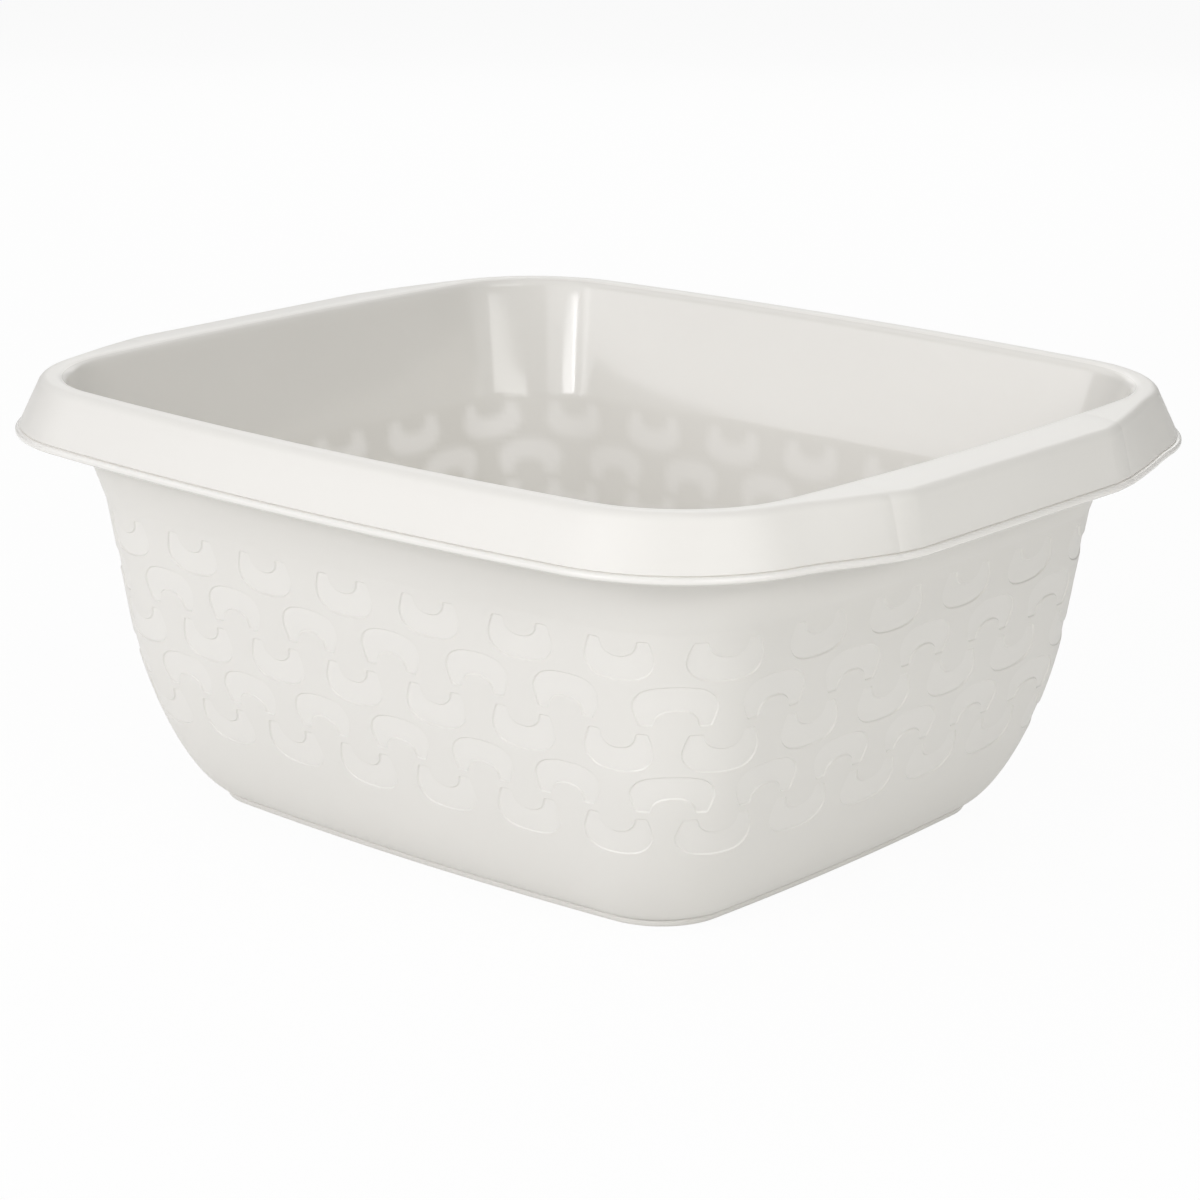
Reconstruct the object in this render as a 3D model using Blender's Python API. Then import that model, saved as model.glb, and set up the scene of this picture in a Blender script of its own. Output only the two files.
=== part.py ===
"""Square household bowl, moulded in one piece of plastic.

The wall rises from a low foot, curves out over the floor, leans out up to a crease
and flares from there to the rim. The rim turns over into a skirt with a rounded lip.
At both ends of the long axis the rim widens into a flat-topped handle.

Metres, +Z up, handles along X, origin at the centre of the foot's underside.
"""
import bpy
import bmesh
from math import acos, asin, atan2, cos, hypot, pi, radians, sin, tan
from mathutils import Vector
from mathutils.geometry import interpolate_bezier

# Overall sizes
LENGTH = 0.3334         # over the lips of the two handles
BODY_LENGTH = 0.3238    # over the plain lip, as if it ran on past the handles
WIDTH = 0.2912          # over the plain lip on the long sides
HEIGHT = 0.143
FOOT_LENGTH = 0.2072
WALL = 0.002

# Plan outline
SIDE_BOW = 1.15         # radius of the gently bowed sides
CREST_CORNER = 0.0445   # corner radius along the rim's crest
WALL_CORNER = 0.0335    # corner radius where the wall starts to curve in
FOOT_CORNER = 0.023     # corner radius at the foot
CORNER_EASE = 0.6       # below 1 the corner radius grows fastest near the foot

# Rim section
RIM_OVERHANG = 0.0134   # from the crest line out to the lip
CREST_RADIUS = 0.004    # inner edge of the rim
RIM_FLAT = 0.0022       # level top of the plain rim
SHOULDER_RADIUS = 0.0036
SKIRT_DROP = 0.0183     # from the rim's top down to the lip's underside
LIP_RADIUS = 0.0011

# Handles
HANDLE_LENGTH = 0.104   # along the end of the bowl, between its end ramps
HANDLE_RAMP = 0.007     # run of each end ramp
HANDLE_FLAT = 0.0095    # level top of the handle
HANDLE_DROP = 0.0197    # from the handle's top down to its lip's underside
FLARE_LENGTH = 0.032    # run over which the rim swings out to the handle
SHOULDER_FLARE_SHARE = 0.80

# Wall profile
CREASE_HEIGHT = 0.1025
BEND_HEIGHT = 0.0600    # where the wall starts to curve in
BAND_LEAN = radians(17.1)
WALL_LEAN = radians(8.2)
FOOT_LEAN = radians(62.0)
CURVE_START_PULL = 0.0200
CURVE_END_PULL = 0.0130

# Foot and floor
FOOT_HEIGHT = 0.0028
FOOT_TAPER = 0.0013     # the foot's edge lies this far inside the wall's end
FOOT_NOTCH = 0.0005
FOOT_EDGE = 0.0007
FOOT_WIDTH = 0.0040
BASE_RECESS = 0.0015    # the base panel lies this far above the foot's underside
FLOOR_BLEND = 0.0030

# Mesh fineness
CORNER_STEPS = 11
LONG_SIDE_STEPS = 5
HANDLE_STEPS = 3
SHORT_SIDE_STEPS = 3
CURVE_STEPS = 9
ARC_STEPS = 3
LIP_STEPS = 4

CREST_HALF_X = BODY_LENGTH / 2 - RIM_OVERHANG
CREST_HALF_Y = WIDTH / 2 - RIM_OVERHANG
FOOT_OUT = FOOT_LENGTH / 2 - CREST_HALF_X
HANDLE_OVERHANG = LENGTH / 2 - CREST_HALF_X
HANDLE_HALF = HANDLE_LENGTH / 2
CREST_Z = HEIGHT - CREST_RADIUS
WALL_TOP_OUT = -(CREST_RADIUS - WALL) / cos(BAND_LEAN)
CREASE_OUT = WALL_TOP_OUT - (CREST_Z - CREASE_HEIGHT) * tan(BAND_LEAN)
BEND_OUT = CREASE_OUT - (CREASE_HEIGHT - BEND_HEIGHT) * tan(WALL_LEAN)


def clear_scene():
    for item in list(bpy.data.objects):
        bpy.data.objects.remove(item, do_unlink=True)


def plastic():
    material = bpy.data.materials.new("bowl_plastic")
    material.use_nodes = True
    shader = material.node_tree.nodes["Principled BSDF"]
    shader.inputs["Base Color"].default_value = (0.740, 0.730, 0.695, 1.0)
    shader.inputs["Roughness"].default_value = 0.36
    shader.inputs["Metallic"].default_value = 0.0
    material.diffuse_color = (0.740, 0.730, 0.695, 1.0)
    return material


def wall_corner(out):
    """Corner radius of the wall's outer face where it lies out from the crest line."""
    if out > BEND_OUT:
        return WALL_CORNER + (CREST_CORNER - WALL_CORNER) * (1 - out / BEND_OUT)
    share = (out - FOOT_OUT) / (BEND_OUT - FOOT_OUT)
    return FOOT_CORNER + (WALL_CORNER - FOOT_CORNER) * share ** CORNER_EASE


def corner_join(half_x, half_y, radius):
    """Centre of the corner arc, and the two angles at which it meets the bowed sides."""
    end_centre = Vector((half_x - SIDE_BOW, 0))
    side_centre = Vector((0, half_y - SIDE_BOW))
    reach = SIDE_BOW - radius
    middle = (end_centre + side_centre) / 2
    apart = side_centre - end_centre
    rise = (reach ** 2 - (apart.length / 2) ** 2) ** 0.5
    centre = middle - rise * Vector((-apart.y, apart.x)).normalized()
    if centre.x < middle.x:
        centre = 2 * middle - centre
    end_angle = atan2(centre.y, centre.x - end_centre.x)
    side_angle = atan2(centre.y - side_centre.y, centre.x)
    return centre, end_angle, side_angle


def end_shares():
    """Places along half an end, as shares of it, with the handle's end ramp among them."""
    end_angle = corner_join(CREST_HALF_X, CREST_HALF_Y, CREST_CORNER)[1]
    ramp_start = asin(HANDLE_HALF / SIDE_BOW) / end_angle
    ramp_end = asin((HANDLE_HALF + HANDLE_RAMP) / SIDE_BOW) / end_angle
    inner = [ramp_start * i / HANDLE_STEPS for i in range(HANDLE_STEPS + 1)]
    outer = [ramp_end + (1 - ramp_end) * i / SHORT_SIDE_STEPS for i in range(SHORT_SIDE_STEPS)]
    return inner + outer


def outline(out, radius, shares):
    """A quarter of a level outline from +X to +Y: points, and whether each is on the handle."""
    half_x = CREST_HALF_X + out
    half_y = CREST_HALF_Y + out
    centre, end_angle, side_angle = corner_join(half_x, half_y, radius)
    points = []
    for i, share in enumerate(shares):
        angle = share * end_angle
        x = half_x - SIDE_BOW + SIDE_BOW * cos(angle)
        points.append((x, SIDE_BOW * sin(angle), i <= HANDLE_STEPS))
    for i in range(CORNER_STEPS):
        angle = end_angle + (side_angle - end_angle) * i / CORNER_STEPS
        points.append((centre.x + radius * cos(angle), centre.y + radius * sin(angle), False))
    for i in range(LONG_SIDE_STEPS + 1):
        angle = side_angle + (pi / 2 - side_angle) * i / LONG_SIDE_STEPS
        y = half_y - SIDE_BOW + SIDE_BOW * sin(angle)
        points.append((SIDE_BOW * cos(angle), y, False))
    return points


def all_round(quarter):
    """Mirrors a quarter outline into the whole ring, counter-clockwise."""
    left = [(-x, y, z) for x, y, z in reversed(quarter)][1:]
    half = quarter + left
    lower = [(x, -y, z) for x, y, z in reversed(half)][1:-1]
    return half + lower


def flare_share(y):
    """How far the rim has swung out at y, from 0 at the corner to 1 at the handle."""
    run = (HANDLE_HALF + HANDLE_RAMP + FLARE_LENGTH - abs(y)) / FLARE_LENGTH
    return min(max(run, 0), 1)


def ring(station, shares):
    """The ring of one station of the section, with its handles and flares."""
    out, height, radius, handle, station_flare = station
    quarter = []
    for x, y, on_handle in outline(out, radius, shares):
        z = height
        if handle is not None:
            share = 1 if on_handle else flare_share(y) * station_flare
            x += (CREST_HALF_X + handle[0] - x) * share
            z += (handle[1] - height) * share
        quarter.append((x, y, z))
    return all_round(quarter)


def arc(centre, radius, start, end, steps):
    """Points on an arc, with angles from straight up and positive outwards."""
    points = []
    for i in range(steps + 1):
        angle = start + (end - start) * i / steps
        points.append((centre[0] + radius * sin(angle), centre[1] + radius * cos(angle)))
    return points


def skirt_section(flat, overhang, skirt_drop):
    """The moved half of the rim's section: shoulder, lip, and the skirt's underside."""
    centre = (flat, HEIGHT - SHOULDER_RADIUS)
    bottom = HEIGHT - skirt_drop
    foot = (overhang - LIP_RADIUS, bottom + 2 * LIP_RADIUS)
    across = foot[0] - centre[0]
    drop = foot[1] - centre[1]
    lean = atan2(drop, across) + acos(SHOULDER_RADIUS / hypot(across, drop))
    shoulder = arc(centre, SHOULDER_RADIUS, 0, pi / 2 - lean, ARC_STEPS)
    lip = arc((foot[0], bottom + LIP_RADIUS), LIP_RADIUS, 0, pi, LIP_STEPS)
    inside = foot[0] - WALL / cos(lean) + 2 * LIP_RADIUS * tan(lean)
    under = arc(centre, SHOULDER_RADIUS - WALL, pi / 2 - lean, 0, ARC_STEPS - 1)
    return shoulder, lip + [(inside, bottom)], under


def rim_stations():
    """Stations of the moved half of the rim, plain and handle side by side."""
    plain = skirt_section(RIM_FLAT, RIM_OVERHANG, SKIRT_DROP)
    handle = skirt_section(HANDLE_FLAT, HANDLE_OVERHANG, HANDLE_DROP)
    flares = (SHOULDER_FLARE_SHARE, 1, SHOULDER_FLARE_SHARE)
    stations = []
    for plain_part, handle_part, station_flare in zip(plain, handle, flares):
        for (out, z), widened in zip(plain_part, handle_part):
            stations.append((out, z, CREST_CORNER + out, widened, station_flare))
    return stations


def wall_curve():
    """The outer face of the wall from the crease down to the foot."""
    start = Vector((BEND_OUT, BEND_HEIGHT))
    end = Vector((FOOT_OUT + FOOT_TAPER, FOOT_HEIGHT))
    pull_start = start - CURVE_START_PULL * Vector((sin(WALL_LEAN), cos(WALL_LEAN)))
    pull_end = end + CURVE_END_PULL * Vector((sin(FOOT_LEAN), cos(FOOT_LEAN)))
    curve = interpolate_bezier(start, pull_start, pull_end, end, CURVE_STEPS + 1)
    return [Vector((CREASE_OUT, CREASE_HEIGHT))] + [Vector(p[:2]) for p in curve]


def offset_inwards(points):
    """The wall's inner face: the outer face moved in by the wall's thickness."""
    leans = [atan2(a.x - b.x, a.y - b.y) for a, b in zip(points, points[1:])]
    moved = []
    for i, point in enumerate(points):
        above = leans[i - 1] if i > 0 else BAND_LEAN
        below = leans[i] if i < len(leans) else FOOT_LEAN
        lean = (above + below) / 2
        depth = WALL / cos((above - below) / 2)
        moved.append(point + depth * Vector((-cos(lean), sin(lean))))
    return moved


def section():
    """Every station of the closed section, from the floor's edge round to the base panel."""
    wall_top = -(pi / 2 - BAND_LEAN)
    outer = wall_curve()
    inner = offset_inwards(outer)
    corners = [wall_corner(point.x) for point in outer]
    floor = BASE_RECESS + WALL
    floor_out = inner[-1].x - (inner[-1].y - floor) * tan(FOOT_LEAN) - FLOOR_BLEND
    ground_out = FOOT_OUT - FOOT_EDGE
    hollow_out = ground_out - FOOT_WIDTH

    stations = [(floor_out, floor, FOOT_CORNER + floor_out - FOOT_OUT, None, 0)]
    for point, radius in reversed(list(zip(inner, corners))):
        stations.append((point.x, point.y, radius - WALL, None, 0))
    for out, z in arc((0, CREST_Z), CREST_RADIUS, wall_top, 0, ARC_STEPS):
        stations.append((out, z, CREST_CORNER + out, None, 0))
    stations += rim_stations()
    for out, z in arc((0, CREST_Z), CREST_RADIUS - WALL, 0, wall_top, ARC_STEPS - 1):
        stations.append((out, z, CREST_CORNER + out, None, 0))
    for point, radius in zip(outer, corners):
        stations.append((point.x, point.y, radius, None, 0))
    foot = [
        (FOOT_OUT + FOOT_TAPER - FOOT_NOTCH, FOOT_HEIGHT - FOOT_NOTCH),
        (FOOT_OUT + FOOT_NOTCH, FOOT_HEIGHT - 2 * FOOT_NOTCH),
        (FOOT_OUT, FOOT_EDGE),
        (ground_out, 0),
        (hollow_out, 0),
        (hollow_out - FOOT_EDGE, BASE_RECESS),
    ]
    for out, z in foot:
        stations.append((out, z, FOOT_CORNER + out - FOOT_OUT, None, 0))
    return stations


def build_bowl():
    """Lofts the section's rings into one closed shell."""
    shares = end_shares()
    shell = bmesh.new()
    rings = [[shell.verts.new(p) for p in ring(station, shares)] for station in section()]
    count = len(rings[0])
    for lower, upper in zip(rings, rings[1:]):
        for i in range(count):
            j = (i + 1) % count
            shell.faces.new((lower[i], lower[j], upper[j], upper[i]))
    shell.faces.new(rings[0])
    shell.faces.new(rings[-1])
    bmesh.ops.recalc_face_normals(shell, faces=shell.faces)
    mesh = bpy.data.meshes.new("bowl")
    shell.to_mesh(mesh)
    shell.free()
    mesh.materials.append(plastic())
    mesh.shade_smooth()
    mesh.set_sharp_from_angle(angle=radians(35))
    bowl = bpy.data.objects.new("bowl", mesh)
    bpy.context.collection.objects.link(bowl)
    return bowl


clear_scene()
build_bowl()
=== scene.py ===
"""Looks of the square bowl: its moulded relief, rim, plastic, studio and camera."""
from math import acos, atan2, cos, hypot, pi, radians, sin, tan

import bpy
import numpy as np
from mathutils import Matrix, Vector
from mathutils.geometry import delaunay_2d_cdt


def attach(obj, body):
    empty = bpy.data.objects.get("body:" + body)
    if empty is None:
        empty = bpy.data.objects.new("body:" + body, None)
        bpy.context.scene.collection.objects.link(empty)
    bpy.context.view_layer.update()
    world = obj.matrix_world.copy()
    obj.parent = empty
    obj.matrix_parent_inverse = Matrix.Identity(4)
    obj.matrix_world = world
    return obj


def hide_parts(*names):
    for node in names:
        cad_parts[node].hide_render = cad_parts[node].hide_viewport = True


# Overall sizes in metres, as in the solid
LENGTH = 0.3334                # over the handles
BODY_LENGTH = 0.3238           # over the rim without them
WIDTH = 0.2912
HEIGHT = 0.143
FOOT_LENGTH = 0.2072
WALL = 0.002
SIDE_BOW = 1.15                # radius of the four bowed sides
CREST_CORNER = 0.0445          # radius of the corners at the crest, the bend and the foot
WALL_CORNER = 0.0335
FOOT_CORNER = 0.023
CORNER_EASE = 0.6              # power by which that radius falls from the bend to the foot

# Rim and handles; the handle's forms are finer than the solid's
RIM_OVERHANG = 0.0134          # from the crest line to the lip
CREST_RADIUS = 0.004
RIM_FLAT = 0.0022              # from the crest line to the shoulder
SHOULDER_RADIUS = 0.0036
SKIRT_DROP = 0.0183
LIP_RADIUS = 0.0011
HANDLE_LENGTH = 0.102
HANDLE_RAMP = 0.009            # run of the step between the grip's straight part and the flare
HANDLE_FLAT = 0.0110
HANDLE_SLOPE = radians(5)
HANDLE_DROP = 0.0201
HANDLE_SHOULDER_RADIUS = 0.0036
FLARE_LENGTH = 0.0365
FLARE_EASE = 0.15              # half the share of the flare over which it starts softly
SHOULDER_FLARE_SHARE = 0.80    # how much of the swing to the handle the flare makes up
LIP_FLARE_SHARE = 0.86
STEP_EDGE = 0.0004             # half width of the line between flare and ramp
CREST_RUN = 0.0003             # least distance of the top's first ring from the crest line
LIP_BEVEL = 0.0003             # on the skirt's inner edge
LIP_GROOVE = 0.0005            # depth of the groove above the lip
GROOVE_TOP_SHARE = 1.1         # heights of the groove's two points, in depths of it
GROOVE_LOW_SHARE = 0.2
END_GROOVE = 0.00007           # depth of the moulded line across the rim at the handle's ends
LIP_HIGHLIGHT_SHARE = 0.4           # painted highlight: the lip is lighter, by this share of the pads' painted light inside
LIP_POLISH = 0.8
FACE_SHARES = (0.25, 0.5, 0.75, 0.94)      # places of the skirt's rings from shoulder to lip

# Wall, foot and floor
CREASE_HEIGHT = 0.1025
BEND_HEIGHT = 0.0600
BAND_LEAN = radians(17.1)
WALL_LEAN = radians(8.2)
FOOT_LEAN = radians(62.0)
CURVE_START_PULL = 0.0200      # from the ends of the wall's curve to its control points
CURVE_END_PULL = 0.0130
INNER_BAND_SHARES = (0.25, 0.5, 0.75, 0.92)        # places of the rings from crease to crest
OUTER_BAND_SHARES = (0.25, 0.5, 0.75)      # and outside from crest to crease
INNER_CREASE_EASE = 0.0008     # half the height of the crease's soft edge inside
OUTER_CREASE_LIFTS = (0.0006, 0.0002)      # rings close above the crease outside
LOWER_WALL_GAP = 0.0006        # least height between the relief and the next ring below
FOOT_HEIGHT = 0.0028
FOOT_TAPER = 0.0013
FOOT_NOTCH = 0.0011            # depth and height of the notch between wall and foot
FOOT_NOTCH_HEIGHT = 0.0007
FOOT_EDGE = 0.0007
FOOT_WIDTH = 0.0040
BASE_RECESS = 0.0015
BASE_RINGS = (0.012, 0.030)    # flat rings inwards of the foot, below the base
BASE_CORNER_LOSS = 0.014       # the most that the base's corner radius shrinks by
FLOOR_BLEND = 0.0030           # from the flat floor to the wall's knee
FLOOR_RINGS = (0.045, 0.025, 0.010)        # flat rings inwards of the blend, inside the bowl
FLOOR_CORNER_LOSS = 0.012
FLOOR_BLEND_SHARES = (0.0, 0.2, 0.4, 0.6, 0.8)

CREST_HALF_X = BODY_LENGTH / 2 - RIM_OVERHANG
CREST_HALF_Y = WIDTH / 2 - RIM_OVERHANG
FOOT_OUT = FOOT_LENGTH / 2 - CREST_HALF_X
HANDLE_OVERHANG = LENGTH / 2 - CREST_HALF_X
HANDLE_HALF = HANDLE_LENGTH / 2
CREST_Z = HEIGHT - CREST_RADIUS
CREST_START = -(pi / 2 - BAND_LEAN)        # angle at which the band runs into the crest
WALL_TOP_OUT = -(CREST_RADIUS - WALL) / cos(BAND_LEAN)
CREASE_OUT = WALL_TOP_OUT - (CREST_Z - CREASE_HEIGHT) * tan(BAND_LEAN)
BEND_OUT = CREASE_OUT - (CREASE_HEIGHT - BEND_HEIGHT) * tan(WALL_LEAN)

# Relief: seven pads along a long side and six along a short one, in five rows
LONG_PADS = 7
SHORT_PADS = 6
PADS_AROUND = 2 * (LONG_PADS + SHORT_PADS)
LONG_PITCH_SHARE = 0.2806      # of half a long side
SHORT_PITCH_SHARE = 0.3467     # of half a short side
PAD_PITCH = 0.03465            # width of a cell before it is fitted to its place
FAR_END_SHIFT = 0.10           # how far the -X end's pads lie towards -Y, in pads
FAR_END_REACH = 5              # pads from that end's middle to where the shift has faded out
FAR_END_FADE = 3               # pads over which it fades
PAD_STEPS = 16                 # mesh steps along the rim to one pad
CELL_SIDE_STEPS = 6            # mesh steps up a pad's cell
CELL_GRID = (12, 6)            # places of the cell's inner points along and up, ends counted
GRID_GAP = 0.0012              # clearance of those points from the pad's outline
PAD_DEPTH = 0.00045
PAD_BEVEL = 0.0006
BEVEL_PLACES = (0.5, 0.18, -0.18, -0.5)    # its rings, outwards, in widths of the bevel
OUTER_PAINTED_LIGHT_SHARE = 0.16        # painted light of the pads outside, where light shows through the thinner wall, as a share of the end walls' inside
LONG_PAINTED_LIGHT_SHARE = 0.55         # and of the end walls' painted light, inside on the long walls
PAD_BLUR = 0.0016              # softness of the painted light where the pads show through inside
PAD_REACH = 0.55               # half a pitch with a margin, in pads
PITCH_POINTS = 9               # points along half a pad's pitch, to measure it
MERGE_WITHIN = 1e-9            # how close two points count as one in a triangulation
KEYS_PER_PAD = 3200            # fineness at which neighbouring cells share border points
KEYS_PER_METRE = 1e6
RELIEF_ROWS = [                # pad's round back, pad's horn tips, as heights
    (0.0874, 0.0998),
    (0.0861, 0.0738),
    (0.0585, 0.0709),
    (0.0575, 0.0456),
    (0.0302, 0.0431),
]
RELIEF_LEVELS = [0.1016, 0.08675, 0.07235, 0.0580, 0.04435, 0.0294]    # borders between the rows
PAD_HALF = [                   # half a pad's outline, in millimetres from the middle of its back
    (0.0, 0.0), (1.5, 0.02), (3.0, 0.08), (4.5, 0.22), (6.0, 0.45), (7.4, 0.78), (8.6, 1.22),
    (9.7, 1.82), (10.6, 2.55), (11.4, 3.45), (11.95, 4.45), (12.3, 5.5), (12.38, 6.5),
    (12.2, 7.6), (11.85, 8.8), (11.45, 10.0), (11.0, 11.1), (10.75, 11.75), (10.55, 12.1),
    (10.25, 12.33), (9.85, 12.4), (9.0, 12.4), (8.1, 12.4), (7.3, 12.4), (6.9, 12.33),
    (6.6, 12.1), (6.42, 11.75), (6.3, 11.2), (6.15, 10.5), (5.8, 9.75), (5.2, 9.0), (4.35, 8.35),
    (3.3, 7.85), (2.2, 7.52), (1.1, 7.35), (0.0, 7.3),
]
PAD_HEIGHT_MM = 12.4           # height and half width of that outline
PAD_WIDTH_MM = 12.38
MM_PER_METRE = 1000
LONG_PAD_HALVES = (11.7, 11.7, 0.0)     # half widths on each side, and shift, in millimetres
SHORT_PAD_HALVES = (12.8, 12.8, 0.0)
CORNER_PAD_HALVES = {          # pads by their place, counted from the middle of a long side
    2.5: (11.7, 11.7, -1.2),
    3: (11.5, 10.9, 0.0),
    3.5: (13.3, 12.1, 0.0),
    4: (13.7, 12.0, 0.0),
    4.5: (13.0, 13.2, 0.3),
}

# Mesh steps
ARC_STEPS = 7
LIP_STEPS = 8
LIP_HIGHLIGHT_RINGS = 6             # the lip's outer rings, which carry the painted highlight
CURVE_STEPS = 60
INNER_CURVE_STRIDE = 3         # the inner face takes each third point of the curve
INNER_WALL_STEPS = 21          # between bend and crease

# Plastic: a mottle between two ground tones, with painted light mixed in towards a lighter tone: light that
# shows through the thinner pads, and a painted highlight on the lip
GROUND_TONES = [(0.737, 0.720, 0.678, 1), (0.764, 0.747, 0.707, 1)]
PAINTED_LIGHT_TONE = (0.873, 0.857, 0.826, 1)
SATIN_ROUGHNESS = (0.35, 0.43)
POLISHED_ROUGHNESS = 0.11

# Studio
SURROUND_LIGHT = 0.20          # grey level of the surround, which the camera sees as white
FLOOR_HALF = 4.0
FLOOR_GAP = 0.0002
FLOOR_GLOW = 0.28              # share of plain white in the floor, and what the camera adds
FLOOR_GLOW_SEEN = 0.66
LAMP_AIM = Vector((0, 0, 0.1))
WHITE = (1, 1, 1)
COOL = (0.97, 0.97, 1.0)

# Camera, fitted to the photograph's outline
CAMERA_AZIMUTH = radians(40.49)
CAMERA_ELEVATION = radians(15.99)
CAMERA_ROLL = 0.007
CAMERA_DISTANCE = 1.1302
CAMERA_AIM = Vector((0, 0, 0.0658))
CAMERA_LENS = 102.99
PHOTO_PIXELS = 1200
CAMERA_SHIFT = (4.0 / PHOTO_PIXELS, 5.6 / PHOTO_PIXELS)


def wall_profile():
    """The wall's outer face from the crest down to the foot: out and height, finely."""
    start = np.array([BEND_OUT, BEND_HEIGHT])
    end = np.array([FOOT_OUT + FOOT_TAPER, FOOT_HEIGHT])
    pull_start = start - CURVE_START_PULL * np.array([sin(WALL_LEAN), cos(WALL_LEAN)])
    pull_end = end + CURVE_END_PULL * np.array([sin(FOOT_LEAN), cos(FOOT_LEAN)])
    share = np.linspace(0, 1, CURVE_STEPS + 1)[:, None]
    curve = (
        (1 - share) ** 3 * start
        + 3 * (1 - share) ** 2 * share * pull_start
        + 3 * (1 - share) * share ** 2 * pull_end
        + share ** 3 * end
    )
    top = np.array([[WALL_TOP_OUT, CREST_Z], [CREASE_OUT, CREASE_HEIGHT]])
    return np.vstack([top, curve])


def wall_corner(out):
    """Corner radius of the wall's outer face where it lies out from the crest line."""
    out = np.asarray(out, float)
    high = WALL_CORNER + (CREST_CORNER - WALL_CORNER) * (1 - out / BEND_OUT)
    share = np.clip((out - FOOT_OUT) / (BEND_OUT - FOOT_OUT), 0, None)
    low = FOOT_CORNER + (WALL_CORNER - FOOT_CORNER) * share ** CORNER_EASE
    return np.where(out > BEND_OUT, high, low)


def corner_join(out, radius):
    """Corner arc's centre and the two angles where it meets the sides, for rings at out."""
    end_x = CREST_HALF_X + out - SIDE_BOW
    side_y = CREST_HALF_Y + out - SIDE_BOW
    reach = SIDE_BOW - radius
    apart = np.hypot(end_x, side_y)
    rise = np.sqrt(reach ** 2 - (apart / 2) ** 2)
    # both arc centres lie on the negative axes, so the corner's centre is on the far side
    centre_x = end_x / 2 - side_y / apart * rise
    centre_y = side_y / 2 - end_x / apart * rise
    end_angle = np.arctan2(centre_y, centre_x - end_x)
    side_angle = np.arctan2(centre_y - side_y, centre_x)
    return end_x, side_y, centre_x, centre_y, end_angle, side_angle


def quadrants(t):
    """Folds a place around the ring, in pads, into the first quadrant, with its signs.

    Places count from the middle of the -Y side towards +X. The far end's shift is put in here.
    """
    t = np.mod(t, PADS_AROUND)
    half = PADS_AROUND / 2
    quarter = PADS_AROUND / 4
    from_end = np.abs(t - 3 * quarter)
    t = t + FAR_END_SHIFT * np.clip((FAR_END_REACH - from_end) / FAR_END_FADE, 0, 1)
    folded = np.where(t > half, PADS_AROUND - t, t)
    sign_x = np.where(t > half, -1.0, 1.0)
    sign_y = np.where(folded > quarter, 1.0, -1.0)
    folded = np.where(folded > quarter, half - folded, folded)
    return folded, sign_x, sign_y


def pad_places():
    """Knots that turn a place in pads into a share of a long half and then of a short one."""
    long_knots = [i * LONG_PITCH_SHARE for i in range((LONG_PADS + 1) // 2)]
    short_knots = [(SHORT_PADS / 2 - 0.5 - i) * SHORT_PITCH_SHARE for i in range(SHORT_PADS // 2)]
    values = long_knots + [2 - share for share in short_knots]
    places = list(range(len(values)))
    return np.array(places + [PADS_AROUND / 4], float), np.array(values + [2.0])


def ring_params(t, out, radius):
    """Side or corner of each place, as a share of that arc, on the ring at out.

    Shares 0 to 1 run along the long side from its middle, 1 to 2 round the corner and
    2 to 3 along the short side to its middle.
    """
    folded, sign_x, sign_y = quadrants(t)
    knots, values = pad_places()
    place = np.interp(folded, knots, values)
    end_angle, side_angle = corner_join(out, radius)[4:]
    long_side = SIDE_BOW * (pi / 2 - side_angle)
    short_side = SIDE_BOW * end_angle
    half_corner = radius * (side_angle - end_angle) / 2
    walk = np.where(place <= 1, place * (long_side + half_corner), 0)
    back = np.where(place > 1, (2 - place) * (short_side + half_corner), 0)
    past_long = 1 + (walk - long_side) / (2 * half_corner)
    past_short = 2 - (back - short_side) / (2 * half_corner)
    on_long = np.where(walk <= long_side, walk / long_side, past_long)
    on_short = np.where(back <= short_side, 3 - back / short_side, past_short)
    return np.where(place <= 1, on_long, on_short), sign_x, sign_y


def ring_xy(params, out, radius):
    """Points of the level ring at out, for places given by ring_params."""
    share, sign_x, sign_y = params
    end_x, side_y, centre_x, centre_y, end_angle, side_angle = corner_join(out, radius)
    angle_long = (pi / 2 - side_angle) * share
    angle_corner = side_angle - (side_angle - end_angle) * (share - 1)
    angle_short = end_angle * (3 - share)
    x = centre_x + radius * np.cos(angle_corner)
    y = centre_y + radius * np.sin(angle_corner)
    x = np.where(share <= 1, SIDE_BOW * np.sin(angle_long), x)
    y = np.where(share <= 1, side_y + SIDE_BOW * np.cos(angle_long), y)
    x = np.where(share >= 2, end_x + SIDE_BOW * np.cos(angle_short), x)
    y = np.where(share >= 2, SIDE_BOW * np.sin(angle_short), y)
    return np.stack([x * sign_x, y * sign_y], -1)


def level_xy(t, out, radius, wall=0.0):
    """Points of the level ring at out, each beside its place on the ring a wall further out."""
    return ring_xy(ring_params(t, out + wall, radius + wall), out, radius)


PROFILE = wall_profile()
PROFILE_UP = PROFILE[::-1]


def wall_points(t, z):
    """Points of the wall's outer face at places t around it and heights z."""
    out = np.interp(z, PROFILE_UP[:, 1], PROFILE_UP[:, 0])
    return np.column_stack([level_xy(t, out, wall_corner(out)), z])


def wall_frame(t, z):
    """Points, unit tangents along the ring and up the wall, and outward normals."""
    step_t = 0.02
    step_z = 0.0004
    point = wall_points(t, z)
    along = wall_points(t + step_t, z) - wall_points(t - step_t, z)
    up = wall_points(t, z + step_z) - wall_points(t, z - step_z)
    along /= np.linalg.norm(along, axis=1)[:, None]
    up /= np.linalg.norm(up, axis=1)[:, None]
    normal = np.cross(along, up)
    normal /= np.linalg.norm(normal, axis=1)[:, None]
    return point, along, up, normal


def pad_pitch(start, end, z):
    """Length of the wall's outline at height z between two places, for one pad's pitch."""
    t = np.linspace(start, end, PITCH_POINTS)
    run = np.diff(wall_points(t, np.full(PITCH_POINTS, z)), axis=0)
    return np.linalg.norm(run, axis=1).sum() / abs(end - start)


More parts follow.
